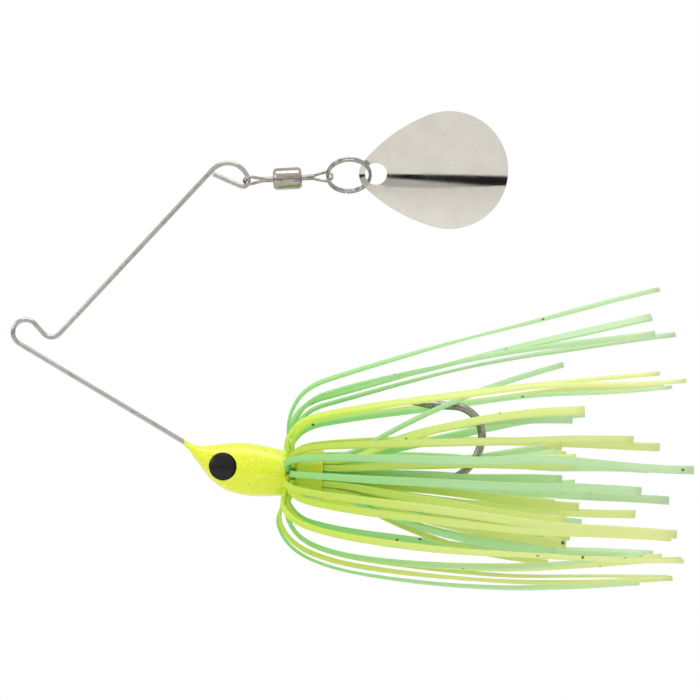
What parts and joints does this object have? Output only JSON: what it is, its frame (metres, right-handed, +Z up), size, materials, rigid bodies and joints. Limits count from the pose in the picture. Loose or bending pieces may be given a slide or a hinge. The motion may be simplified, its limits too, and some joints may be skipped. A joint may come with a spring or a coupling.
{
  "type": "spinnerbait fishing lure",
  "caption": "Spinnerbait: a bent wire form holds a weighted head with hook and silicone skirt below a spinning spoon blade on a swivel.",
  "frame": {"origin": "centre of the line-tie bend in the wire form", "axes": "+X towards the tail, +Z up towards the blade, the wire form and the hook lie in the plane y = 0"},
  "size_m": [0.1085, 0.0467, 0.0766],
  "materials": {
    "wire": "bright drawn spring steel",
    "hook": "dark nickel plate",
    "head_paint": "gloss chartreuse paint with fine glitter",
    "eye": "gloss black",
    "band": "translucent olive",
    "strand_mint": "soft translucent silicone",
    "strand_yellow": "soft translucent silicone",
    "swivel_wire": "nickel plate",
    "swivel_body": "nickel plate",
    "ring": "nickel plate",
    "blade": "polished nickel plate"
  },
  "bodies": {
    "frame": {"wire_frame": "wire", "hook": "hook", "head": "head_paint", "eye_left": "eye", "eye_right": "eye", "skirt_band": "band", "skirt_strand_outer_01": "strand_mint", "skirt_strand_outer_02": "strand_yellow", "skirt_strand_outer_03": "strand_yellow", "skirt_strand_outer_04": "strand_mint", "skirt_strand_outer_05": "strand_yellow", "skirt_strand_outer_06": "strand_yellow", "skirt_strand_outer_07": "strand_mint", "skirt_strand_outer_08": "strand_yellow", "skirt_strand_outer_09": "strand_yellow", "skirt_strand_outer_10": "strand_mint", "skirt_strand_outer_11": "strand_yellow", "skirt_strand_outer_12": "strand_mint", "skirt_strand_outer_13": "strand_yellow", "skirt_strand_outer_14": "strand_mint", "skirt_strand_outer_15": "strand_mint", "skirt_strand_inner_01": "strand_mint", "skirt_strand_inner_02": "strand_yellow", "skirt_strand_inner_03": "strand_mint", "skirt_strand_inner_04": "strand_yellow", "skirt_strand_inner_05": "strand_yellow", "skirt_strand_inner_06": "strand_yellow", "skirt_strand_inner_07": "strand_mint", "skirt_strand_inner_08": "strand_yellow", "skirt_strand_inner_09": "strand_mint", "skirt_strand_inner_10": "strand_yellow", "skirt_strand_inner_11": "strand_mint", "skirt_strand_inner_12": "strand_yellow", "skirt_strand_inner_13": "strand_mint"},
    "front_eye": {"swivel_front_eye": "swivel_wire"},
    "barrel": {"swivel_barrel": "swivel_body"},
    "rear_eye": {"swivel_rear_eye": "swivel_wire"},
    "ring": {"split_ring": "ring"},
    "blade": {"blade": "blade"}
  },
  "joints": [
    {"name": "arm_swing", "type": "hinge", "parent": "frame", "child": "front_eye", "pos_m": [0.03475, 0, 0.02426], "axis": [0, 1, 0], "range_deg": [-40, 25]},
    {"name": "barrel_spin", "type": "hinge", "parent": "front_eye", "child": "barrel", "pos_m": [0.04189, 0, 0.02463], "axis": [0.9986, 0, 0.0523], "continuous": true},
    {"name": "rear_eye_spin", "type": "hinge", "parent": "barrel", "child": "rear_eye", "pos_m": [0.04419, 0, 0.02475], "axis": [0.9986, 0, 0.0523], "continuous": true},
    {"name": "ring_swing", "type": "hinge", "parent": "rear_eye", "child": "ring", "pos_m": [0.04903, 0, 0.02501], "axis": [-0.036, 0.7254, 0.6874], "range_deg": [-45, 45]},
    {"name": "blade_swing", "type": "hinge", "parent": "ring", "child": "blade", "pos_m": [0.05514, 0, 0.02533], "axis": [-0.038, -0.6884, 0.7244], "range_deg": [-35, 35]}
  ]
}
